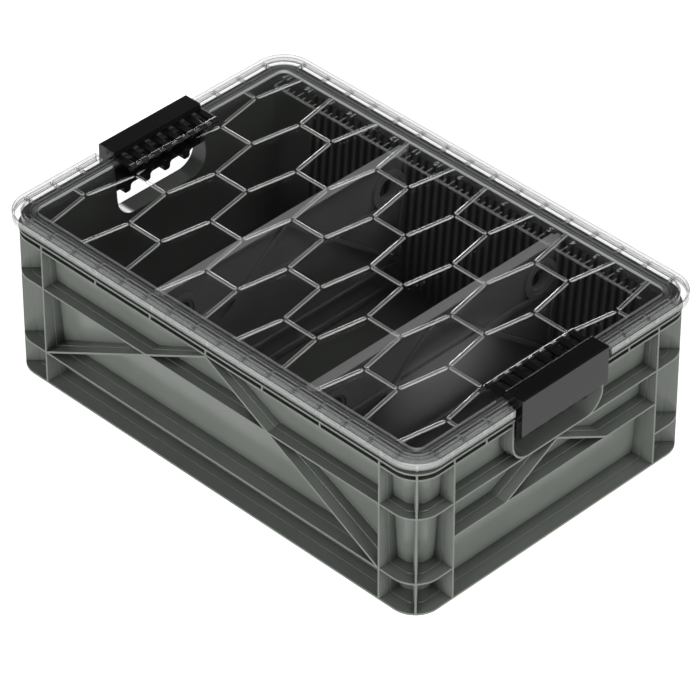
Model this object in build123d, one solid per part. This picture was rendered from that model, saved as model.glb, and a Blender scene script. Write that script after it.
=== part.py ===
from build123d import *
import math
import os

# Clear-lidded stacking crate. Millimetres, +Z up, X along the length, origin at the middle of the base.
# Heights are counted from the surface the crate stands on. "Depth" is how far a face lies inside
# the vertical plane that the outer ribs share, and "reach" is how far a face stands outside it.

# Crate, over its outer ribs
crate_length = 470.0
crate_width = 318.0
corner_radius = 24.0
rim_top = 153.0
rib_thickness = 1.8

# Tub inside the ribs: its wall leans inwards towards the base
wall = 2.0
tub_depth_base = 22.5
tub_depth_rim = 10.8
tub_corner_radius = 16.0
floor_top = 12.0
floor_thickness = 2.2

# Ribs are thicker next to the tub, from this depth inwards
rib_root_extra = 0.8
root_depth_base = 12.3
root_depth_rim = 6.0

# Flanges that run all the way round, by how far their top face lies under the rim
ledge_thickness = 2.0
ledge_depth = 2.1
catch_flange_drop = 8.4
catch_flange_reach = 0.8
lower_flange_drop = 14.8

# Outer ribs: heights, and columns by how far they stand from the crate's outer planes
upper_rib_height = 98.2
middle_rib_height = 63.9
low_rib_height = 32.1
long_side_column_inset = 41.2
short_side_column_inset = 41.8
short_brace_foot = 58.5
rim_gusset_pitch = 64.4
rim_gussets_long = 2
rim_gusset_short = 81.8
rim_gusset_foot_drop = 16.0

# Hand opening in each end, framed by a rib
hand_half_width = 50.7
hand_corner_radius = 18.0

# Slots for the dividers, moulded down both long walls
slot_pitch = 8.7
slot_rib_width = 3.1
slot_rib_depth = 4.5
slot_rib_drop = 7.0
slot_end_margin = 48.0

# Ribs under the floor
under_rib_depth = 3.8
under_rib_pitch_x = 70.0
under_rib_pitch_y = 60.0
under_ribs_x = 2
under_ribs_y = 1

# Finger grip set into the hand opening, under the rim
grip_front_depth = 2.9
grip_thickness = 6.7
grip_side_gap = 0.3
tooth_pitch = 22.6
tooth_width = 7.5
tooth_length = 7.2
scallop_drop = 30.6
scallop_radius = 3.4
teeth_each_side = 2

# Divider
divider_slots = {"divider_left": -8.5, "divider_right": 11.5}
divider_thickness = 4.6
divider_end_gap = 1.2
divider_slot_gap = 0.6
divider_drop = 3.5
divider_rib_reach = 2.7
divider_cap_thickness = 3.0
grip_notch_inset = 65.8
grip_notch_length = 48.6
grip_notch_width = 6.2
divider_foot_rib = (14.0, 19.0)
divider_low_rib = (36.5, 40.0)
divider_high_rib = (101.5, 106.0)
divider_end_rib = 2.5
divider_brace = 3.6
ring_inset = 39.5
ring_drop = 34.0
ring_outer_radius = 18.5
ring_step_radius = 13.6
ring_hole_radius = 10.6
ring_reach = 2.7
ring_step = 1.2

# Lid: heights are counted up or down from the rim
lid_wall = 1.8
lid_reach = 5.1
lid_rise = 6.0
skirt_drop = 0.9
lid_corner_radius = 28.0
groove_outer_depth = 3.9
groove_inner_depth = 8.6
groove_floor_rise = 1.9
border_rise = 4.4
border_inner_depth = 15.9
panel_rise = 1.3
plug_clearance = 0.6
plug_drop = 2.0
lid_gusset_pitch = 28.2
lid_gusset_width = 1.6
lid_gusset_corner_gap = 20.0
lid_gusset_short_start = 77.5
lid_gusset_short_pitch = 29.0
lid_gussets_short = 3
lid_gusset_drop = 1.8

# Raised hexagons on the lid
hex_pitch_x = 45.04
hex_pitch_y = 48.8
hex_half_edge = 18.3
hex_rib_width = 4.4
hex_rib_top_width = 1.6
hex_rib_height = 0.8
hex_rib_setback = 3.3

# Latches: the hinge axis lies just over the lid's border
latch_length = 99.0
latch_reach = 7.05
latch_rise = 5.9
latch_hang = 24.5
latch_inner_depth = 11.5
latch_wall = 2.2
latch_end_wall = 2.0
hook_depth = 2.3
hook_drop = 4.5
hook_thickness = 2.4
latch_edge = 0.8
latch_notch_gap = 5.7
latch_running_gap = 0.4
knuckle_count = 7
knuckle_pitch = 13.3
knuckle_width = 6.5
finger_width = 6.0
finger_thickness = 2.8
hinge_lift = 0.8
hinge_depth = 31.0
barrel_radius = 2.8
pin_radius = 1.5
pin_clearance = 0.05
guide_bar_width = 4.2
guide_bar_lift = 1.4
guide_bar_gap = 0.7

half_length = crate_length / 2
half_width = crate_width / 2
overshoot = 1.0
latch_half = latch_length / 2
notch_half = latch_half + latch_notch_gap
ledge_bottom = rim_top - ledge_thickness
catch_flange_top = rim_top - catch_flange_drop
lower_flange_top = rim_top - lower_flange_drop
long_side_column = half_length - long_side_column_inset
short_side_column = half_width - short_side_column_inset
lid_top = rim_top + lid_rise
groove_floor = rim_top + groove_floor_rise
border_top = rim_top + border_rise
panel_top = rim_top + panel_rise
panel_bottom = panel_top - lid_wall
plug_bottom = rim_top - plug_drop
latch_top = lid_top + latch_rise
finger_bottom = border_top + latch_running_gap
finger_top = finger_bottom + finger_thickness
hinge_height = finger_bottom + hinge_lift
divider_top = rim_top - divider_drop


def block(x0, x1, y0, y1, z0, z1):
    """Solid box between two corners."""
    return Pos((x0 + x1) / 2, (y0 + y1) / 2, (z0 + z1) / 2) * Box(x1 - x0, y1 - y0, z1 - z0)


def rounded_slab(reach, z0, z1, radius=None):
    """Slab over the crate's plan, grown outwards by reach."""
    corner = corner_radius + reach if radius is None else radius
    plan = RectangleRounded(crate_length + 2 * reach, crate_width + 2 * reach, corner)
    return Pos(0, 0, z0) * extrude(plan, z1 - z0)


def rounded_ring(outer_reach, inner_reach, z0, z1, outer_radius=None, inner_radius=None):
    """Ring that follows the crate's plan."""
    inner = rounded_slab(inner_reach, z0 - overshoot, z1 + overshoot, inner_radius)
    return rounded_slab(outer_reach, z0, z1, outer_radius) - inner


def tub_depth(height):
    """Depth of the tub's outer face at a height."""
    return tub_depth_base + (tub_depth_rim - tub_depth_base) * height / rim_top


def inner_half_width(height):
    """Distance from the middle to the inside of a long wall at a height."""
    return half_width - tub_depth(height) - wall


def leaning_prism(inset_low, inset_high, radius_low, radius_high, z0, z1):
    """Prism whose plan is drawn in by one inset at its foot and another at its top."""
    plans = []
    for inset, radius, height in ((inset_low, radius_low, z0), (inset_high, radius_high, z1)):
        plan = RectangleRounded(crate_length - 2 * inset, crate_width - 2 * inset, radius)
        plans.append(Pos(0, 0, height) * plan)
    return loft(Sketch() + plans, ruled=True)


def tub(extra, z0, z1):
    """Leaning prism: the tub's outer face, drawn in by extra."""
    radius = tub_corner_radius - extra
    return leaning_prism(tub_depth(z0) + extra, tub_depth(z1) + extra, radius, radius, z0, z1)


def bar_in_plane(start, end, thickness):
    """Outline of a straight bar of one thickness, drawn upright."""
    across = end[0] - start[0]
    up = end[1] - start[1]
    middle = Pos((start[0] + end[0]) / 2, (start[1] + end[1]) / 2)
    turn = Rot(0, 0, math.degrees(math.atan2(up, across)))
    return middle * turn * Rectangle(math.hypot(across, up), thickness)


def extrude_along_y(sketch, y0, y1):
    """Extrudes an X-Z outline from y0 to y1."""
    return extrude(Plane.XZ.offset(-y1) * sketch, y1 - y0)


def extrude_along_x(sketch, x0, x1):
    """Extrudes a Y-Z outline from x0 to x1."""
    return extrude(Plane.YZ.offset(x0) * sketch, x1 - x0)


def outline(points):
    """Face inside a closed run of straight edges."""
    return make_face(Polyline(*points, close=True))


def hand_outline(grow, top):
    """Outline of the hand opening, grown by grow, up to a height."""
    low = upper_rib_height + rib_thickness / 2 - grow
    half = hand_half_width + grow
    radius = hand_corner_radius + grow
    path = Polyline(
        (-half, low + radius),
        (-half, top),
        (half, top),
        (half, low + radius),
    )
    right = ThreePointArc(
        (half, low + radius),
        (half - radius + radius * math.sqrt(0.5), low + radius - radius * math.sqrt(0.5)),
        (half - radius, low),
    )
    bottom = Line((half - radius, low), (-half + radius, low))
    left = ThreePointArc(
        (-half + radius, low),
        (-half + radius - radius * math.sqrt(0.5), low + radius - radius * math.sqrt(0.5)),
        (-half, low + radius),
    )
    return make_face(path + right + bottom + left)


def outer_ribs(thickness):
    """Ribs that stand out from the tub, as plates of one thickness running right through it."""
    half = thickness / 2
    ribs = [rounded_slab(0, upper_rib_height - half, upper_rib_height + half)]
    # The low rib runs along the sides and round the corners, the middle one across the ends
    low_rib = rounded_slab(0, low_rib_height - half, low_rib_height + half)
    low_rib -= block(
        -half_length, half_length, -short_side_column, short_side_column,
        low_rib_height - thickness, low_rib_height + thickness,
    )
    ribs.append(low_rib)
    ribs.append(
        block(
            -half_length, half_length, -short_side_column, short_side_column,
            middle_rib_height - half, middle_rib_height + half,
        )
    )
    for side in (-1, 1):
        x = side * long_side_column
        y = side * short_side_column
        ribs.append(block(x - half, x + half, -half_width, half_width, 0, lower_flange_top))
        ribs.append(block(-half_length, half_length, y - half, y + half, 0, lower_flange_top))
        for other in (-1, 1):
            centre = Pos(side * (half_length - corner_radius), other * (half_width - corner_radius))
            turn = math.degrees(math.atan2(other, side))
            fin = block(0, corner_radius, -half, half, 0, lower_flange_top)
            ribs.append(centre * Rot(0, 0, turn) * fin)
        brace = bar_in_plane(
            (side * long_side_column, low_rib_height), (0, lower_flange_top - 3 * half_rib), thickness
        )
        ribs.append(extrude_along_y(brace, -half_width, half_width))
        roof = bar_in_plane(
            (side * short_brace_foot, middle_rib_height), (0, upper_rib_height - 2 * half_rib), thickness
        )
        ribs.append(extrude_along_x(roof, -half_length, half_length))
    frame = hand_outline(rib_thickness / 2 + half, lower_flange_top)
    frame -= hand_outline(0, lower_flange_top + overshoot)
    ribs.append(extrude_along_x(frame, -half_length, half_length))
    return ribs


# Crate body: everything is drawn solid through the middle, and the inside is cut out last
half_rib = rib_thickness / 2
body = tub(0, 0, rim_top)

# Thick roots of the ribs, kept inside their own leaning prism
roots = Part() + [
    rounded_slab(0, 0, rib_thickness + rib_root_extra),
    *outer_ribs(rib_thickness + 2 * rib_root_extra),
]
root_prism = leaning_prism(
    root_depth_base, root_depth_rim, corner_radius - root_depth_base,
    corner_radius - root_depth_rim, 0, rim_top,
)
body += roots & root_prism

# Ribs and flanges
shell_parts = outer_ribs(rib_thickness)
shell_parts += [
    rounded_slab(0, 0, rib_thickness),
    rounded_slab(0, lower_flange_top - rib_thickness, lower_flange_top),
    rounded_slab(catch_flange_reach, catch_flange_top - rib_thickness, catch_flange_top),
    rounded_slab(-ledge_depth, ledge_bottom, rim_top),
]

# Thin gussets between the flanges, over the columns, the corners and the openings' frames too
gusset_foot = rim_top - rim_gusset_foot_drop
gussets_x = [step * rim_gusset_pitch for step in range(-rim_gussets_long, rim_gussets_long + 1)]
gussets_x += [-long_side_column, long_side_column]
gussets_y = [rim_gusset_short, short_side_column, hand_half_width + half_rib]
for x in gussets_x:
    shell_parts.append(
        block(x - half_rib, x + half_rib, -half_width, half_width, gusset_foot, rim_top)
    )
for y in gussets_y:
    for side in (-1, 1):
        shell_parts.append(
            block(
                -half_length, half_length, side * y - half_rib, side * y + half_rib,
                gusset_foot, rim_top,
            )
        )
for side in (-1, 1):
    for other in (-1, 1):
        centre = Pos(side * (half_length - corner_radius), other * (half_width - corner_radius))
        turn = math.degrees(math.atan2(other, side))
        fin = block(0, corner_radius, -half_rib, half_rib, gusset_foot, rim_top)
        shell_parts.append(centre * Rot(0, 0, turn) * fin)
plates = Part() + shell_parts
body += plates

# Above the catch flange nothing stands out past the ledge
body -= rounded_ring(catch_flange_reach + overshoot, -ledge_depth, catch_flange_top, rim_top + overshoot)

# Inside of the tub, less the slot ribs
cavity = tub(wall, floor_top, rim_top + overshoot)
slot_ribs = []
slot_foot = floor_top - overshoot
slot_head = rim_top - slot_rib_drop
slot_reach = half_length - slot_end_margin
slots_each_way = int(slot_reach / slot_pitch)
for step in range(-slots_each_way, slots_each_way + 1):
    x = step * slot_pitch
    for side in (-1, 1):
        rib_face = outline(
            [
                (side * half_width, slot_foot),
                (side * (inner_half_width(slot_foot) - slot_rib_depth), slot_foot),
                (side * (inner_half_width(slot_head) - slot_rib_depth), slot_head),
                (side * half_width, slot_head),
            ]
        )
        slot_ribs.append(extrude_along_x(rib_face, x - slot_rib_width / 2, x + slot_rib_width / 2))
cavity = cavity - slot_ribs

# Space under the floor, less its ribs
under_top = floor_top - floor_thickness
under = tub(wall, -overshoot, under_top)
under_ribs = []
under_rib_foot = under_top - under_rib_depth
for step in range(-under_ribs_x, under_ribs_x + 1):
    x = step * under_rib_pitch_x
    under_ribs.append(
        block(x - half_rib, x + half_rib, -half_width, half_width, under_rib_foot, floor_top)
    )
for step in range(-under_ribs_y, under_ribs_y + 1):
    y = step * under_rib_pitch_y
    under_ribs.append(
        block(-half_length, half_length, y - half_rib, y + half_rib, under_rib_foot, floor_top)
    )
under = under - under_ribs

# Hand openings, cut right through, with the ledge drawn back where a latch hangs over it
hand_cut = hand_outline(0, ledge_bottom)
tunnel_reach = catch_flange_reach + overshoot
tunnel_depth = tub_depth_base + wall + overshoot
ledge_back = hook_depth + latch_running_gap
tunnels = []
for side in (-1, 1):
    ends = sorted((side * (half_length + tunnel_reach), side * (half_length - tunnel_depth)))
    tunnels.append(extrude_along_x(hand_cut, ends[0], ends[1]))
    ends = sorted((side * (half_length + tunnel_reach), side * (half_length - ledge_back)))
    tunnels.append(
        block(
            ends[0], ends[1], -hand_half_width, hand_half_width,
            catch_flange_top - rib_thickness, rim_top + overshoot,
        )
    )
body = body - [cavity, under, *tunnels]

# Finger grip: a bar under the ledge with blunt teeth between the fingers
scallop_top = rim_top - scallop_drop
tooth_bottom = scallop_top - tooth_length
grip_half = hand_half_width - grip_side_gap
grip_face = outline(
    [
        (-grip_half, scallop_top),
        (-grip_half, ledge_bottom),
        (grip_half, ledge_bottom),
        (grip_half, scallop_top),
    ]
)
tooth_centres = []
for step in range(teeth_each_side):
    tooth_centres += [tooth_pitch * (step + 0.5), -tooth_pitch * (step + 0.5)]
for y in tooth_centres:
    tooth = Pos(y, (tooth_bottom + scallop_top) / 2) * Rectangle(
        tooth_width, scallop_top - tooth_bottom
    )
    grip_face += tooth
lower_corners = [v for v in grip_face.vertices() if tooth_bottom - 0.1 < v.Y < tooth_bottom + 0.1]
grip_face = fillet(lower_corners, tooth_width / 3)
inner_corners = [
    v for v in grip_face.vertices()
    if abs(v.Y - scallop_top) < 0.1 and abs(v.X) < grip_half - tooth_width / 2
]
grip_face = fillet(inner_corners, scallop_radius)


def finger_grip(side):
    """Grip of one end."""
    front = side * (half_length - grip_front_depth)
    back = side * (half_length - grip_front_depth - grip_thickness)
    ends = sorted((front, back))
    return extrude_along_x(grip_face, ends[0], ends[1])


def divider_profile(end_inset, low, high):
    """Y-Z outline between the leaning long walls, drawn in from them by end_inset."""
    half_low = inner_half_width(low) - end_inset
    half_high = inner_half_width(high) - end_inset
    return outline([(-half_low, low), (half_low, low), (half_high, high), (-half_high, high)])


def divider(slot):
    """Cross wall that drops into a pair of slots."""
    x = slot * slot_pitch
    half_plate = divider_thickness / 2
    reach = half_plate + divider_rib_reach
    rib_inset = slot_rib_depth + divider_slot_gap
    plate = extrude_along_x(
        divider_profile(divider_end_gap, floor_top, divider_top), x - half_plate, x + half_plate
    )
    parts = []
    low = divider_top - divider_cap_thickness
    notch_start = half_width - grip_notch_inset - grip_notch_length
    notch_end = half_width - grip_notch_inset
    notch_half = grip_notch_width / 2
    spans = (
        (-half_width, notch_start, reach),
        (notch_start, notch_end, notch_half),
        (notch_end, half_width, reach),
    )
    for start, end, half in spans:
        parts.append(block(x - half, x + half, start, end, low, divider_top))
    for foot, head in (divider_foot_rib, divider_low_rib, divider_high_rib):
        parts.append(block(x - reach, x + reach, -half_width, half_width, foot, head))
    edge = divider_profile(rib_inset, divider_foot_rib[0], divider_top)
    edge -= divider_profile(rib_inset + divider_end_rib, divider_foot_rib[1] - overshoot, low + overshoot)
    parts.append(extrude_along_x(edge, x - reach, x + reach))
    ring_y = half_width - ring_inset
    ring_z = rim_top - ring_drop
    brace_foot = inner_half_width(divider_low_rib[1]) - rib_inset
    for side in (-1, 1):
        brace = bar_in_plane(
            (side * brace_foot, divider_low_rib[1] - divider_brace / 2), (0, low), divider_brace
        )
        parts.append(extrude_along_x(brace, x - reach, x + reach))
        spot = Pos(x, side * ring_y, ring_z) * Rot(0, 90, 0)
        parts.append(spot * Cylinder(ring_outer_radius, 2 * (half_plate + ring_reach)))
    ribs = Part()
    for part in parts:
        ribs += part
    inside_ribs = extrude_along_x(
        divider_profile(rib_inset, divider_foot_rib[0], divider_top), x - reach, x + reach
    )
    wall_with_ribs = plate + (ribs & inside_ribs)
    cuts = []
    for side in (-1, 1):
        spot = Pos(x, side * ring_y, ring_z) * Rot(0, 90, 0)
        cuts.append(spot * Cylinder(ring_hole_radius, 4 * reach))
        for face in (-1, 1):
            step = Pos(x + face * (half_plate + ring_reach), side * ring_y, ring_z) * Rot(0, 90, 0)
            cuts.append(step * Cylinder(ring_step_radius, 2 * ring_step))
    return wall_with_ribs - cuts


# Lid: rings that make its edge, then the panel
skirt = rounded_ring(
    lid_reach, lid_reach - lid_wall, rim_top - skirt_drop, lid_top,
    lid_corner_radius, lid_corner_radius - lid_wall,
)
flange = rounded_ring(
    lid_reach, -groove_outer_depth, lid_top - lid_wall, lid_top,
    lid_corner_radius, None,
)
groove_wall = rounded_ring(-groove_outer_depth + lid_wall, -groove_outer_depth, rim_top, lid_top)
groove_bottom = rounded_ring(-groove_outer_depth + lid_wall, -groove_inner_depth, rim_top, groove_floor)
border_wall = rounded_ring(-groove_inner_depth, -groove_inner_depth - lid_wall, rim_top, border_top)
border = rounded_ring(-groove_inner_depth, -border_inner_depth, border_top - lid_wall, border_top)

# The border's inner wall hangs down inside the tub and keeps the lid in place
plug_depth = tub_depth(rim_top) + wall + plug_clearance
plug_radius = tub_corner_radius - wall
plug = rounded_ring(-plug_depth, -border_inner_depth, plug_bottom, border_top, plug_radius)
panel = rounded_slab(-plug_depth, panel_bottom, panel_top, plug_radius)
lid = panel + [skirt, flange, groove_wall, groove_bottom, border_wall, border, plug]

# Gussets across the groove and under the flange
half_gusset = lid_gusset_width / 2
skirt_inner = lid_reach - lid_wall
groove_outer_face = -groove_outer_depth + lid_wall
lid_gussets = []
lid_gussets_long = int((half_length - lid_gusset_corner_gap) / lid_gusset_pitch + 0.5)
for step in range(lid_gussets_long):
    for x in (lid_gusset_pitch * (step + 0.5), -lid_gusset_pitch * (step + 0.5)):
        for side in (-1, 1):
            spans = (
                (half_width - groove_inner_depth, half_width - groove_outer_depth, rim_top, border_top),
                (
                    half_width + groove_outer_face, half_width + skirt_inner,
                    rim_top - skirt_drop + lid_gusset_drop, lid_top - lid_wall,
                ),
            )
            for start, end, low, high in spans:
                faces = sorted((side * start, side * end))
                lid_gussets.append(
                    block(x - half_gusset, x + half_gusset, faces[0], faces[1], low, high)
                )
for step in range(lid_gussets_short):
    place = lid_gusset_short_start + step * lid_gusset_short_pitch
    for y in (place, -place):
        for side in (-1, 1):
            spans = (
                (half_length - groove_inner_depth, half_length - groove_outer_depth, rim_top, border_top),
                (
                    half_length + groove_outer_face, half_length + skirt_inner,
                    rim_top - skirt_drop + lid_gusset_drop, lid_top - lid_wall,
                ),
            )
            for start, end, low, high in spans:
                faces = sorted((side * start, side * end))
                lid_gussets.append(
                    block(faces[0], faces[1], y - half_gusset, y + half_gusset, low, high)
                )
lid = lid + lid_gussets


def hex_rib(start, end, start_setback, end_setback):
    """Raised rib with sloping sides and round ends, drawn back from its two corners."""
    across = end[0] - start[0]
    up = end[1] - start[1]
    run = math.hypot(across, up)
    straight = run - start_setback - end_setback
    middle = (start_setback + straight / 2) / run
    slope = math.degrees(math.atan2(hex_rib_width - hex_rib_top_width, 2 * hex_rib_height))
    rib = extrude(SlotCenterToCenter(straight, hex_rib_width), hex_rib_height, taper=slope)
    turn = Rot(0, 0, math.degrees(math.atan2(up, across)))
    return Pos(start[0] + across * middle, start[1] + up * middle, panel_top) * turn * rib


# Lattice of long hexagons: ribs stop short of the corners, and run into the border
panel_x = half_length - border_inner_depth
panel_y = half_width - border_inner_depth
ribs = []
columns_each_way = int((panel_x + hex_half_edge) / hex_pitch_x)
rows_each_way = int(panel_y / hex_pitch_y) + 1
for column in range(-columns_each_way, columns_each_way + 1):
    centre = column * hex_pitch_x
    for row in range(-rows_each_way, rows_each_way + 1):
        y = row * hex_pitch_y
        if (row + column) % 2 == 0 or abs(y) > panel_y:
            continue
        left = max(centre - hex_half_edge, -panel_x)
        right = min(centre + hex_half_edge, panel_x)
        left_setback = hex_rib_setback if left > -panel_x else 0
        right_setback = hex_rib_setback if right < panel_x else 0
        if right - left > left_setback + right_setback + hex_rib_width:
            ribs.append(hex_rib((left, y), (right, y), left_setback, right_setback))
for column in range(-columns_each_way, columns_each_way):
    corner = column * hex_pitch_x + hex_half_edge
    next_corner = (column + 1) * hex_pitch_x - hex_half_edge
    for row in range(-rows_each_way, rows_each_way):
        low_y = row * hex_pitch_y
        high_y = low_y + hex_pitch_y
        low_is_corner = (row + column) % 2 != 0
        low_x = corner if low_is_corner else next_corner
        high_x = next_corner if low_is_corner else corner
        lean = (high_x - low_x) / hex_pitch_y
        start_y = max(low_y, -panel_y)
        end_y = min(high_y, panel_y)
        start_setback = hex_rib_setback if low_y > -panel_y else 0
        end_setback = hex_rib_setback if high_y < panel_y else 0
        ribs.append(
            hex_rib(
                (low_x + lean * (start_y - low_y), start_y), (low_x + lean * (end_y - low_y), end_y),
                start_setback, end_setback,
            )
        )
hinge_zone_inner = half_length - hinge_depth - barrel_radius - latch_running_gap
hinge_zones = []
for side in (-1, 1):
    ends = sorted((side * hinge_zone_inner, side * panel_x))
    hinge_zones.append(
        block(ends[0], ends[1], -notch_half, notch_half, panel_top, panel_top + hex_rib_height)
    )
lattice = Part() + ribs
lattice -= hinge_zones
lid = lid + lattice

# Notches for the latches, closed at both ends by the groove's own depth
notches = []
for side in (-1, 1):
    ends = sorted((side * (half_length - groove_inner_depth), side * (half_length + lid_reach + overshoot)))
    notches.append(
        block(ends[0], ends[1], -notch_half, notch_half, groove_floor, lid_top + overshoot)
    )
    ends = sorted((side * (half_length - groove_outer_depth), side * (half_length + lid_reach + overshoot)))
    notches.append(
        block(ends[0], ends[1], -notch_half, notch_half, rim_top - skirt_drop - overshoot, lid_top + overshoot)
    )
lid = lid - notches

# Knuckles that hold the latch pins, and the guide bars between the latch's fingers
hinge_x = half_length - hinge_depth
guide_inner = hinge_x + barrel_radius + guide_bar_gap
guide_outer = half_length - latch_inner_depth - guide_bar_gap
knuckle_places = [
    knuckle_pitch * (step - (knuckle_count - 1) / 2) for step in range(knuckle_count)
]
knuckles = []
pin_holes = []
for side in (-1, 1):
    for y in knuckle_places:
        half = knuckle_width / 2
        knuckles.append(
            block(
                side * hinge_x - barrel_radius, side * hinge_x + barrel_radius, y - half, y + half,
                panel_bottom + lid_wall / 2, hinge_height,
            )
        )
        knuckles.append(
            Pos(side * hinge_x, y, hinge_height) * Rot(90, 0, 0) * Cylinder(barrel_radius, knuckle_width)
        )
        ends = sorted((side * guide_inner, side * guide_outer))
        half = guide_bar_width / 2
        knuckles.append(
            block(
                ends[0], ends[1], y - half, y + half,
                panel_bottom + lid_wall / 2, hinge_height + guide_bar_lift,
            )
        )
    pin_holes.append(
        Pos(side * hinge_x, 0, hinge_height) * Rot(90, 0, 0)
        * Cylinder(pin_radius + pin_clearance, latch_length)
    )
lid = lid + knuckles
lid = lid - pin_holes


def latch(side):
    """Latch that caps the rim, with a row of hinge fingers on its inner edge."""
    outer = half_length + latch_reach
    inner = half_length - latch_inner_depth
    hook = half_length - hook_depth
    latch_bottom = rim_top - latch_hang
    tip = latch_bottom - hook_drop
    roof = latch_top - latch_wall
    leg = outer - latch_wall
    past_border = half_length - groove_inner_depth + latch_running_gap
    past_groove = half_length - groove_outer_depth + latch_running_gap
    over_groove = groove_floor + latch_running_gap
    over_ledge = rim_top + latch_running_gap
    cap = outline(
        [
            (hook, tip),
            (hook, tip + hook_thickness),
            (leg, latch_bottom + hook_thickness),
            (leg, roof),
            (inner + latch_wall, roof),
            (inner + latch_wall, finger_bottom),
            (inner, finger_bottom),
            (inner, latch_top),
            (outer - latch_edge, latch_top),
            (outer, latch_top - latch_edge),
            (outer, latch_bottom + latch_edge),
            (outer - latch_edge, latch_bottom),
        ]
    )
    end = outline(
        [
            (hook, tip),
            (hook, over_ledge),
            (past_groove, over_ledge),
            (past_groove, over_groove),
            (past_border, over_groove),
            (past_border, finger_bottom),
            (inner, finger_bottom),
            (inner, latch_top),
            (outer - latch_edge, latch_top),
            (outer, latch_top - latch_edge),
            (outer, latch_bottom + latch_edge),
            (outer - latch_edge, latch_bottom),
        ]
    )
    shape = extrude_along_y(cap, -latch_half, latch_half)
    parts = []
    for edge in (-1, 1):
        ends = sorted((edge * latch_half, edge * (latch_half - latch_end_wall)))
        parts.append(extrude_along_y(end, ends[0], ends[1]))
    half = finger_width / 2
    for step in range(knuckle_count + 1):
        y = knuckle_pitch * (step - knuckle_count / 2)
        low = max(y - half, -latch_half)
        high = min(y + half, latch_half)
        parts.append(block(hinge_x, inner + latch_wall / 2, low, high, finger_bottom, finger_top))
        parts.append(
            Pos(hinge_x, (low + high) / 2, hinge_height) * Rot(90, 0, 0)
            * Cylinder(barrel_radius, high - low)
        )
    shape = shape + parts
    shape -= Pos(hinge_x, 0, hinge_height) * Rot(90, 0, 0) * Cylinder(
        pin_radius + pin_clearance, latch_length + overshoot
    )
    if side < 0:
        shape = mirror(shape, Plane.YZ)
    return shape


def latch_pin(side):
    """Steel pin through the knuckles and fingers of one latch."""
    return Pos(side * hinge_x, 0, hinge_height) * Rot(90, 0, 0) * Cylinder(
        pin_radius, latch_length - overshoot
    )


nodes = {
    "crate_body": body,
    "handle_grip_left": finger_grip(-1),
    "handle_grip_right": finger_grip(1),
    "lid_panel": lid,
    "latch_left": latch(-1),
    "latch_right": latch(1),
    "latch_pin_left": latch_pin(-1),
    "latch_pin_right": latch_pin(1),
}
for name, slot in divider_slots.items():
    nodes[name] = divider(slot)

os.makedirs("parts", exist_ok=True)
for name, shape in nodes.items():
    export_step(shape, f"parts/{name}.step")
    print(name, len(shape.solids()), "solid", round(shape.volume), "mm3")
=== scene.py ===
import bpy
import math
from mathutils import Matrix, Vector


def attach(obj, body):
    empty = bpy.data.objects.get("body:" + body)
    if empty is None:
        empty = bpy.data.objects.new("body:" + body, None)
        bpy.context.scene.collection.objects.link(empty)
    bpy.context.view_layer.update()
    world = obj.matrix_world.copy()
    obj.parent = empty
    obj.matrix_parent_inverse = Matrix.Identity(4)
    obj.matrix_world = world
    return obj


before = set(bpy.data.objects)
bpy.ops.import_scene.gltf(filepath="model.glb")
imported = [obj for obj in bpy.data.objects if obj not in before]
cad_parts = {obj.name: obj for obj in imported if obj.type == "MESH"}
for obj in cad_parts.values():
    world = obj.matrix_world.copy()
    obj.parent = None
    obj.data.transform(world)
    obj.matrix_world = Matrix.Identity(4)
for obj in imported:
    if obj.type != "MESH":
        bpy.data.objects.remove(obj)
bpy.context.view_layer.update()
scene = bpy.context.scene
print("frame loaded", len(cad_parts), "nodes")


def linear(hexCode):
    # hexCode is sRGB
    values = []
    for start in (1, 3, 5):
        c = int(hexCode[start:start + 2], 16) / 255
        values.append(c / 12.92 if c <= 0.04045 else ((c + 0.055) / 1.055) ** 2.4)
    return (*values, 1.0)


def addNode(tree, kind, inputs=None, **settings):
    # an input is a number, a colour, a socket, or a node, which gives its first output
    node = tree.nodes.new(kind)
    for name, value in settings.items():
        setattr(node, name, value)
    for socket, value in (inputs or {}).items():
        if isinstance(value, bpy.types.Node):
            value = value.outputs[0]
        if isinstance(value, bpy.types.NodeSocket):
            tree.links.new(value, node.inputs[socket])
        else:
            node.inputs[socket].default_value = value
    return node


def newMaterial(name):
    material = bpy.data.materials.new(name)
    material.use_nodes = True
    material.node_tree.nodes.clear()
    return material, material.node_tree


def dress(nodeName, material):
    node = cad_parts[nodeName]
    node.data.materials.clear()
    node.data.materials.append(material)


def selectOnly(piece):
    bpy.ops.object.select_all(action="DESELECT")
    piece.select_set(True)
    bpy.context.view_layer.objects.active = piece


# What every moulded piece shares: a faint mottle 55 mm wide under a fine grit, which is
# drawn coarser than the real one so that it shows up close
moulding = {
    "mottlePerMetre": 18.0,
    "mottleDetail": 3.0,
    "mottleRoughness": 0.55,
    "mottleSpan": (0.3, 0.7),
    "gritDetail": 2.0,
    "gritStrength": 0.12,
    "gritDepth": 0.0002,
    "roughnessSpread": 0.05,
    "ior": 1.49,
    "edgeSamples": 4,
    # the next three set the painted shade: colour darkened in creases and hollows, where shade
    # falls
    "paintedShadeSamples": 6,
    "paintedShadeSpan": (0.2, 0.75),
    "paintedShadeTone": 0.2,
}


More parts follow.
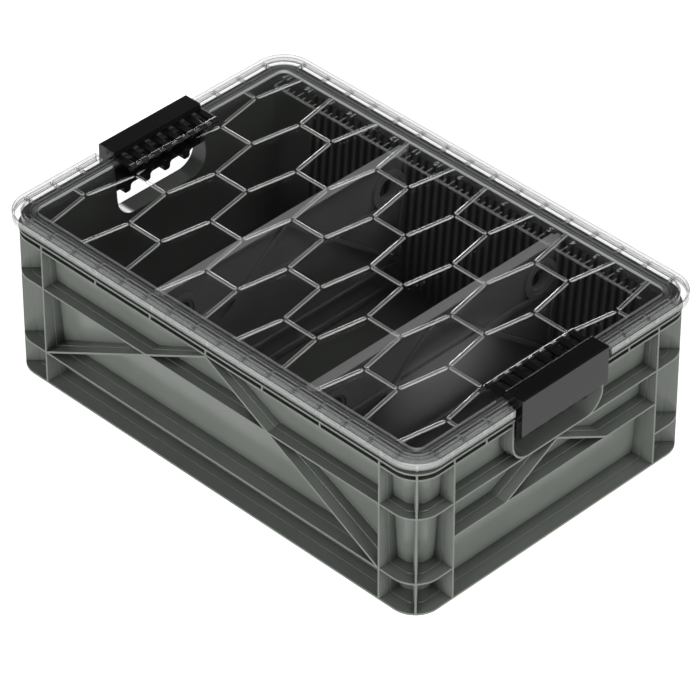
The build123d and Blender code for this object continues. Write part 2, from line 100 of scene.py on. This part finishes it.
def mouldedPlastic(name, finish):
    # the grit is what spark erosion leaves in the mould, and no moulded edge is quite sharp
    material, tree = newMaterial(name)
    place = addNode(tree, "ShaderNodeTexCoord")
    mottle = addNode(tree, "ShaderNodeTexNoise", {
        "Vector": place.outputs["Object"], "Scale": moulding["mottlePerMetre"],
        "Detail": moulding["mottleDetail"], "Roughness": moulding["mottleRoughness"]})
    shade = addNode(tree, "ShaderNodeValToRGB", {"Fac": mottle})
    for step in (0, 1):
        shade.color_ramp.elements[step].position = moulding["mottleSpan"][step]
        shade.color_ramp.elements[step].color = linear(finish["colours"][step])
    colour = shade.outputs["Color"]
    # Painted light: above a given height the colour is paler, where the top catches more light
    if "paintedLightFrom" in finish:
        axes = addNode(tree, "ShaderNodeSeparateXYZ", {"Vector": place.outputs["Object"]})
        above = addNode(tree, "ShaderNodeMath", {
            0: axes.outputs["Z"], 1: finish["paintedLightFrom"]}, operation="GREATER_THAN")
        paintedTopLight = addNode(tree, "ShaderNodeMix", {
            0: above, 6: colour, 7: linear(finish["paintedLightColour"])}, data_type="RGBA")
        colour = paintedTopLight.outputs[2]
    # Painted shade: the colour is darkened where ambient occlusion finds creases and hollows
    if "paintedShadeReach" in finish:
        hidden = addNode(tree, "ShaderNodeAmbientOcclusion", {
            "Distance": finish["paintedShadeReach"]}, samples=moulding["paintedShadeSamples"], only_local=True)
        depth = addNode(tree, "ShaderNodeMapRange", {
            "Value": hidden.outputs["AO"], "From Min": moulding["paintedShadeSpan"][0],
            "From Max": moulding["paintedShadeSpan"][1], "To Min": moulding["paintedShadeTone"]})
        paintedCreaseShade = addNode(tree, "ShaderNodeMix", {
            0: 1.0, 6: colour, 7: depth}, data_type="RGBA", blend_type="MULTIPLY")
        colour = paintedCreaseShade.outputs[2]
    grit = addNode(tree, "ShaderNodeTexNoise", {
        "Vector": place.outputs["Object"], "Scale": finish["gritPerMetre"],
        "Detail": moulding["gritDetail"]})
    sheen = addNode(tree, "ShaderNodeMapRange", {
        "Value": grit, "To Min": finish["roughness"] - moulding["roughnessSpread"],
        "To Max": finish["roughness"] + moulding["roughnessSpread"]})
    rounded = addNode(tree, "ShaderNodeBevel", {
        "Radius": finish["edge"]}, samples=moulding["edgeSamples"])
    bump = addNode(tree, "ShaderNodeBump", {
        "Height": grit, "Strength": moulding["gritStrength"],
        "Distance": moulding["gritDepth"], "Normal": rounded})
    plastic = addNode(tree, "ShaderNodeBsdfPrincipled", {
        "Base Color": colour, "Roughness": sheen, "Normal": bump,
        "IOR": moulding["ior"], "Specular IOR Level": finish["shine"]})
    addNode(tree, "ShaderNodeOutputMaterial", {"Surface": plastic})
    return material


# Injection-moulded polypropylene: grey-green with a soft sheen, with painted shade in creases and
# hollows, where ribs meet walls
crateFinish = {
    "colours": ("#646863", "#6A6E69"),
    "roughness": 0.2,
    "gritPerMetre": 2200.0,  # grains of 0.45 mm
    "edge": 0.0005,
    "shine": 0.5,
    # how far the painted shade reaches into creases and hollows
    "paintedShadeReach": 0.014,
}
cratePolypropylene = mouldedPlastic("mouldedPolypropylene", crateFinish)

# Moulded nylon: near black, with a satin sheen that shows each facet
latchFinish = {
    "colours": ("#0C0C0C", "#101010"),
    "roughness": 0.15,
    "gritPerMetre": 2600.0,  # grains of 0.38 mm
    "edge": 0.0004,
    "shine": 0.5,
}
latchNylon = mouldedPlastic("satinNylon", latchFinish)

# The same nylon from a rougher mould: nearly matt, and a little darker than the latch, as painted
# shade for teeth set deep in the hand opening
gripFinish = {
    "colours": ("#0A0A0A", "#0E0E0E"),
    "roughness": 0.45,
    "gritPerMetre": 2600.0,  # grains of 0.38 mm
    "edge": 0.0006,
    "shine": 0.15,
}
shadedGripNylon = mouldedPlastic("shadedGripNylon", gripFinish)

# Moulded polypropylene, a plain grey, with a thin paler line along its top edge, which is painted
# light on the top, and with painted shade in its creases
dividerTop = max(corner.co.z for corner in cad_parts["divider_left"].data.vertices)
dividerFinish = {
    "colours": ("#8E8E8E", "#969696"),
    "roughness": 0.3,
    "gritPerMetre": 2200.0,  # grains of 0.45 mm
    "edge": 0.0006,
    "shine": 0.5,
    "paintedShadeReach": 0.01,
    "paintedLightFrom": dividerTop - 0.0006,
    "paintedLightColour": "#DADADA",
}
dividerPolypropylene = mouldedPlastic("greyPolypropylene", dividerFinish)

# Moulded clear polycarbonate: light goes straight through its thin walls, which darken
# at a grazing angle; the rim is whitish, and steep faces of rim and ribs get painted highlights
lidLook = {
    "clear": "#F9FBFA",
    "milk": "#F2F4F3",
    "milkRoughness": 0.2,
    "ior": 1.5,
    "panelHalf": (0.2192, 0.1432),
    "panelTop": 0.1543,
    "ribStart": 0.0001,  # above the panel
    "hingeStart": 0.1985,
    "hingeHalf": 0.0552,
    "rimBlend": 0.0006,
    "rimSlope": (0.3, 0.9),
    "rimSideMilkAndHighlight": 0.16,
    "rimTopMix": 0.03,
    "ribSlope": (0.88, 0.98),
    "ribSideHighlight": 0.3,
    "ribTopHighlight": 0.1,
    "straightGloss": 0.04,
    "glossPower": 5.0,
    "glossRoughness": 0.03,
    "wallTurn": (0.55, 0.95),
    "wallClear": 0.97,
    "wallDark": 0.3,
    "edgeWidth": 0.0012,
    "edgeLean": (0.99, 0.94),
    "paintedEdgeShade": 0.05,
    "shadowTurn": (0.35, 0.9),
    "shadowClear": 0.9,
    "shadowDark": 0.1,
}
polycarbonate, tree = newMaterial("clearPolycarbonate")
place = addNode(tree, "ShaderNodeTexCoord")
axes = addNode(tree, "ShaderNodeSeparateXYZ", {"Vector": place.outputs["Object"]})
alongX = addNode(tree, "ShaderNodeMath", {0: axes.outputs["X"]}, operation="ABSOLUTE")
alongY = addNode(tree, "ShaderNodeMath", {0: axes.outputs["Y"]}, operation="ABSOLUTE")
tilt = addNode(tree, "ShaderNodeNewGeometry")
facing = addNode(tree, "ShaderNodeSeparateXYZ", {"Vector": tilt.outputs["True Normal"]})
level = addNode(tree, "ShaderNodeMath", {0: facing.outputs["Z"]}, operation="ABSOLUTE")
grazing = addNode(tree, "ShaderNodeLayerWeight", {"Blend": 0.5}).outputs["Facing"]

# Milk on the rim, which starts past the panel's half length or half width: the rim is whitish,
# and its steep faces get more as a painted highlight
pastX = addNode(tree, "ShaderNodeMath", {
    0: alongX, 1: lidLook["panelHalf"][0]}, operation="SUBTRACT")
pastY = addNode(tree, "ShaderNodeMath", {
    0: alongY, 1: lidLook["panelHalf"][1]}, operation="SUBTRACT")
past = addNode(tree, "ShaderNodeMath", {0: pastX, 1: pastY}, operation="MAXIMUM")
onRim = addNode(tree, "ShaderNodeMapRange", {"Value": past, "From Max": lidLook["rimBlend"]})
rimSlope = addNode(tree, "ShaderNodeMapRange", {
    "Value": level, "From Min": lidLook["rimSlope"][0], "From Max": lidLook["rimSlope"][1],
    "To Min": lidLook["rimSideMilkAndHighlight"], "To Max": lidLook["rimTopMix"]})
rimMilkAndHighlight = addNode(tree, "ShaderNodeMath", {0: onRim, 1: rimSlope}, operation="MULTIPLY")

# Painted highlight on the raised hexagons, away from the rim and the knuckles: milk, more on
# their steep sides than on their tops
raised = addNode(tree, "ShaderNodeMath", {
    0: axes.outputs["Z"], 1: lidLook["panelTop"] + lidLook["ribStart"]}, operation="GREATER_THAN")
offRim = addNode(tree, "ShaderNodeMath", {0: 1.0, 1: onRim}, operation="SUBTRACT")
besideHinge = addNode(tree, "ShaderNodeMath", {
    0: alongY, 1: lidLook["hingeHalf"]}, operation="GREATER_THAN")
beforeHinge = addNode(tree, "ShaderNodeMath", {
    0: alongX, 1: lidLook["hingeStart"]}, operation="LESS_THAN")
offHinge = addNode(tree, "ShaderNodeMath", {0: besideHinge, 1: beforeHinge}, operation="MAXIMUM")
ribHighlight = addNode(tree, "ShaderNodeMapRange", {
    "Value": level, "From Min": lidLook["ribSlope"][0], "From Max": lidLook["ribSlope"][1],
    "To Min": lidLook["ribSideHighlight"], "To Max": lidLook["ribTopHighlight"]})
for mask in (raised, offRim, offHinge):
    ribHighlight = addNode(tree, "ShaderNodeMath", {0: ribHighlight, 1: mask}, operation="MULTIPLY")
milkAndHighlight = addNode(tree, "ShaderNodeMath", {0: rimMilkAndHighlight, 1: ribHighlight}, operation="MAXIMUM")

# An edge of the rim is a painted dark line, shade where the edge bends light away: there the
# rounded normal leans off the flat one
rounded = addNode(tree, "ShaderNodeBevel", {
    "Radius": lidLook["edgeWidth"]}, samples=moulding["edgeSamples"])
lean = addNode(tree, "ShaderNodeVectorMath", {
    0: rounded, 1: tilt.outputs["True Normal"]}, operation="DOT_PRODUCT")
edge = addNode(tree, "ShaderNodeMapRange", {
    "Value": lean.outputs["Value"], "From Min": lidLook["edgeLean"][0],
    "From Max": lidLook["edgeLean"][1]})
rimEdge = addNode(tree, "ShaderNodeMath", {0: onRim, 1: edge}, operation="MULTIPLY")
edgeShadeTone = addNode(tree, "ShaderNodeMapRange", {
    "Value": rimEdge, "To Min": 1.0, "To Max": lidLook["paintedEdgeShade"]})
wallTone = addNode(tree, "ShaderNodeMapRange", {
    "Value": grazing, "From Min": lidLook["wallTurn"][0], "From Max": lidLook["wallTurn"][1],
    "To Min": lidLook["wallClear"], "To Max": lidLook["wallDark"]})
clearTone = addNode(tree, "ShaderNodeMath", {0: edgeShadeTone, 1: wallTone}, operation="MULTIPLY")

# The clear wall with its gloss, and the milk and painted highlights over both
turned = addNode(tree, "ShaderNodeMath", {
    0: grazing, 1: lidLook["glossPower"]}, operation="POWER")
gloss = addNode(tree, "ShaderNodeMapRange", {
    "Value": turned, "To Min": lidLook["straightGloss"]})
clear = addNode(tree, "ShaderNodeBsdfTransparent", {"Color": clearTone})
shine = addNode(tree, "ShaderNodeBsdfGlossy", {
    "Color": linear(lidLook["clear"]), "Roughness": lidLook["glossRoughness"]})
glassy = addNode(tree, "ShaderNodeMixShader", {0: gloss, 1: clear, 2: shine})
milk = addNode(tree, "ShaderNodeBsdfPrincipled", {
    "Base Color": linear(lidLook["milk"]), "Roughness": lidLook["milkRoughness"],
    "IOR": lidLook["ior"]})
body = addNode(tree, "ShaderNodeMixShader", {0: milkAndHighlight, 1: glassy, 2: milk})

# Light that goes on into the crate is dimmed more, the flatter it meets the lid
shadowTone = addNode(tree, "ShaderNodeMapRange", {
    "Value": grazing, "From Min": lidLook["shadowTurn"][0], "From Max": lidLook["shadowTurn"][1],
    "To Min": lidLook["shadowClear"], "To Max": lidLook["shadowDark"]})
passing = addNode(tree, "ShaderNodeBsdfTransparent", {"Color": shadowTone})
path = addNode(tree, "ShaderNodeLightPath")
lighting = addNode(tree, "ShaderNodeMath", {
    0: path.outputs["Is Shadow Ray"], 1: path.outputs["Is Diffuse Ray"]}, operation="MAXIMUM")
lidSurface = addNode(tree, "ShaderNodeMixShader", {0: lighting, 1: body, 2: passing})
addNode(tree, "ShaderNodeOutputMaterial", {"Surface": lidSurface})

# Drawn steel wire, darkened: a dull metal, with smoother patches about 1.1 mm wide
pinLook = {"colour": "#5B5C5E", "patchesPerMetre": 900.0, "roughness": (0.25, 0.4)}
pinSteel, tree = newMaterial("drawnSteel")
place = addNode(tree, "ShaderNodeTexCoord")
drawn = addNode(tree, "ShaderNodeTexNoise", {
    "Vector": place.outputs["Object"], "Scale": pinLook["patchesPerMetre"]})
gloss = addNode(tree, "ShaderNodeMapRange", {
    "Value": drawn, "To Min": pinLook["roughness"][0], "To Max": pinLook["roughness"][1]})
steel = addNode(tree, "ShaderNodeBsdfPrincipled", {
    "Base Color": linear(pinLook["colour"]), "Metallic": 1.0, "Roughness": gloss})
addNode(tree, "ShaderNodeOutputMaterial", {"Surface": steel})

dress("crate_body", cratePolypropylene)
dress("lid_panel", polycarbonate)
for side in ("left", "right"):
    dress("handle_grip_" + side, shadedGripNylon)
    dress("latch_" + side, latchNylon)
    dress("latch_pin_" + side, pinSteel)
    dress("divider_" + side, dividerPolypropylene)
print("materials dressed")

# The ruler raised along the far edge of the lid, read from the far side: inches with
# quarter marks. It is frosted, so that it reads against the clear panel
ruler = {
    "units": 17,
    "unit": 0.0254,
    "firstUnitX": 0.1969,
    "baselines": (0.1217, 0.1233),
    "unitMark": 0.009,
    "quarterMark": 0.005,
    "lineWidth": 0.00035,
    "rise": 0.0003,
    "slope": 0.0001,
    "sunk": 0.0001,
    "numberY": 0.139,
    "numberHeight": 0.0085,
    "curveSteps": 3,
    "frost": 0.24,
    "frostRoughness": 0.45,
}
frosted, tree = newMaterial("frostedPolycarbonate")
bare = addNode(tree, "ShaderNodeBsdfTransparent", {"Color": linear(lidLook["clear"])})
frost = addNode(tree, "ShaderNodeBsdfPrincipled", {
    "Base Color": linear(lidLook["milk"]), "Roughness": ruler["frostRoughness"],
    "IOR": lidLook["ior"]})
frostedSurface = addNode(tree, "ShaderNodeMixShader", {0: ruler["frost"], 1: bare, 2: frost})
addNode(tree, "ShaderNodeOutputMaterial", {"Surface": frostedSurface})

rulerLow = lidLook["panelTop"] - ruler["sunk"]
rulerHigh = lidLook["panelTop"] + ruler["rise"]
rulerMiddle = (rulerLow + rulerHigh) / 2
rulerStart = ruler["firstUnitX"] - (ruler["units"] - 1) * ruler["unit"]
rulerEnd = ruler["firstUnitX"] + ruler["unit"] / 2
quarterStep = ruler["unit"] / 4
lineHalf = ruler["lineWidth"] / 2
rulerParts = []


def raisedStroke(start, end):
    # a bar with sloping sides that fills the plan's box from start to end
    size = (end[0] - start[0], end[1] - start[1], rulerHigh - rulerLow)
    centre = ((start[0] + end[0]) / 2, (start[1] + end[1]) / 2)
    bpy.ops.object.select_all(action="DESELECT")
    bpy.ops.mesh.primitive_cube_add(size=1, location=(*centre, rulerMiddle), scale=size)
    bpy.ops.object.transform_apply(location=True, rotation=True, scale=True)
    bar = bpy.context.active_object
    bpy.ops.object.mode_set(mode="EDIT")
    bpy.ops.mesh.select_mode(type="FACE")
    bpy.ops.mesh.select_all(action="DESELECT")
    bpy.ops.object.mode_set(mode="OBJECT")
    for face in bar.data.polygons:
        face.select = face.normal.z > 0.5
    bpy.ops.object.mode_set(mode="EDIT")
    narrower = [1 - 2 * ruler["slope"] / size[0], 1 - 2 * ruler["slope"] / size[1], 1]
    bpy.ops.transform.resize(value=narrower, center_override=(*centre, rulerHigh))
    bpy.ops.object.mode_set(mode="OBJECT")
    rulerParts.append(bar)
    return bar


def markAt(quarter, reach):
    x = rulerStart + quarter * quarterStep
    y = ruler["baselines"][1]
    return raisedStroke((x - lineHalf, y + lineHalf), (x + lineHalf, y + reach))


for y in ruler["baselines"]:
    raisedStroke((rulerStart - lineHalf, y - lineHalf), (rulerEnd, y + lineHalf))
longMark = markAt(0, ruler["unitMark"])
shortMark = markAt(1, ruler["quarterMark"])
for quarter in range(2, 4 * ruler["units"] - 2):
    model, steps = (shortMark, quarter - 1) if quarter % 4 else (longMark, quarter)
    selectOnly(model)
    bpy.ops.object.duplicate()
    bpy.ops.transform.translate(value=(steps * quarterStep, 0, 0))
    rulerParts.append(bpy.context.active_object)
for number in range(1, ruler["units"] + 1):
    bpy.ops.object.select_all(action="DESELECT")
    bpy.ops.object.text_add()
    digits = bpy.context.active_object
    digits.data.body = str(number)
    digits.data.align_x = "CENTER"
    digits.data.align_y = "CENTER"
    digits.data.size = ruler["numberHeight"]
    digits.data.extrude = (rulerHigh - rulerLow) / 2
    digits.data.resolution_u = ruler["curveSteps"]
    bpy.ops.object.convert(target="MESH")
    digits.rotation_euler = (0, 0, math.pi)
    digits.location = (
        ruler["firstUnitX"] - (number - 1) * ruler["unit"], ruler["numberY"], rulerMiddle)
    bpy.ops.object.transform_apply(location=True, rotation=True, scale=True)
    rulerParts.append(digits)
selectOnly(rulerParts[0])
for part in rulerParts:
    part.select_set(True)
bpy.ops.object.join()
bpy.ops.object.transform_apply(location=True, rotation=True, scale=True)
rulerMarks = bpy.context.active_object
rulerMarks.name = "lid_ruler"
rulerMarks.data.materials.clear()
rulerMarks.data.materials.append(frosted)
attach(rulerMarks, "lid")
print("ruler raised on the lid", len(rulerParts), "strokes and numbers")

# Matt white paper on the floor: it keeps the shadow, and gloss and glass see plain white
floorPaper = {"size": 14, "drop": 0.0005, "colour": "#E6E6E6", "backdrop": "#FFFFFF", "glow": 0.8}
bpy.ops.object.select_all(action="DESELECT")
bpy.ops.mesh.primitive_plane_add(size=floorPaper["size"], location=(0, 0, -floorPaper["drop"]))
floor = bpy.context.active_object
floor.name = "floor"
paper, tree = newMaterial("whitePaper")
path = addNode(tree, "ShaderNodeLightPath")
mirrored = addNode(tree, "ShaderNodeMath", {
    0: path.outputs["Is Glossy Ray"], 1: path.outputs["Is Transmission Ray"]},
    operation="MAXIMUM")
direct = addNode(tree, "ShaderNodeMath", {
    0: path.outputs["Diffuse Depth"], 1: 0.5}, operation="LESS_THAN")
seen = addNode(tree, "ShaderNodeMath", {0: mirrored, 1: direct}, operation="MULTIPLY")
matt = addNode(tree, "ShaderNodeBsdfDiffuse", {"Color": linear(floorPaper["colour"])})
glow = addNode(tree, "ShaderNodeEmission", {
    "Color": linear(floorPaper["backdrop"]), "Strength": floorPaper["glow"]})
lit = addNode(tree, "ShaderNodeAddShader", {0: matt, 1: glow})
flat = addNode(tree, "ShaderNodeEmission", {
    "Color": linear(floorPaper["backdrop"]), "Strength": 1.0})
onlySeen = addNode(tree, "ShaderNodeMixShader", {
    0: path.outputs["Is Camera Ray"], 1: matt, 2: lit})
paperSurface = addNode(tree, "ShaderNodeMixShader", {0: seen, 1: onlySeen, 2: flat})
addNode(tree, "ShaderNodeOutputMaterial", {"Surface": paperSurface})
floor.data.materials.append(paper)

# The room: bright low walls under a dark ceiling, by the sine of the height angle
room = {"backdrop": "#FFFFFF", "wallTop": 0.1, "ceiling": 0.4, "ceilingLevel": 0.04}
world = bpy.data.worlds.new("studio")
scene.world = world
world.use_nodes = True
tree = world.node_tree
tree.nodes.clear()
path = addNode(tree, "ShaderNodeLightPath")
outlook = addNode(tree, "ShaderNodeTexCoord")
height = addNode(tree, "ShaderNodeSeparateXYZ", {"Vector": outlook.outputs["Generated"]})
dusk = addNode(tree, "ShaderNodeMapRange", {
    "Value": height.outputs["Z"], "From Min": room["wallTop"], "From Max": room["ceiling"],
    "To Min": 1.0, "To Max": room["ceilingLevel"]}, interpolation_type="SMOOTHSTEP")
brightness = addNode(tree, "ShaderNodeMath", {
    0: dusk, 1: path.outputs["Is Camera Ray"]}, operation="MAXIMUM")
air = addNode(tree, "ShaderNodeBackground", {
    "Color": linear(room["backdrop"]), "Strength": brightness})
addNode(tree, "ShaderNodeOutputWorld", {"Surface": air})

# Soft boxes, all aimed at the middle of the crate: place, size and power in watts
studio = {
    "frontLeft": {"place": (0.5, -3.6, 0.9), "size": 1.6, "power": 125},
    "frontRight": {"place": (3.7, -0.3, 0.9), "size": 1.6, "power": 110},
    "overhead": {"place": (0.9, 1.2, 3.1), "size": 1.2, "power": 20},
    "back": {"place": (-2.8, 2.6, 0.9), "size": 1.6, "power": 55},
}
aim = Vector((0, 0, 0.09))
for name, box in studio.items():
    bpy.ops.object.light_add(type="AREA", location=box["place"])
    lamp = bpy.context.active_object
    lamp.name = name
    lamp.data.size = box["size"]
    lamp.data.energy = box["power"]
    lamp.rotation_euler = (aim - Vector(box["place"])).to_track_quat("-Z", "Y").to_euler()
print("studio lit")

# The photograph looks down on the near corner through a long lens
camera = {
    "azimuth": 44.984,
    "elevation": 38.25,
    "distance": 3.9706,
    "lens": 249.4,
    "sensor": 36.0,
    "lookAt": (0, 0, 0.07833),
    "slideRight": 0.002395,
    "slideUp": -0.01927,
    "reach": (0.05, 50.0),
}
turn = math.radians(camera["azimuth"])
rise = math.radians(camera["elevation"])
back = Vector((math.cos(rise) * math.sin(turn), -math.cos(rise) * math.cos(turn), math.sin(rise)))
right = Vector((0, 0, 1)).cross(back).normalized()
up = back.cross(right)
bpy.ops.object.camera_add()
view = bpy.context.active_object
view.name = "camera"
view.data.lens = camera["lens"]
view.data.sensor_width = camera["sensor"]
view.data.clip_start, view.data.clip_end = camera["reach"]
view.location = (Vector(camera["lookAt"]) + back * camera["distance"]
                 + right * camera["slideRight"] + up * camera["slideUp"])
view.rotation_euler = Matrix((right, up, back)).transposed().to_euler()
scene.camera = view
scene.view_settings.view_transform = "Standard"
print("camera placed")
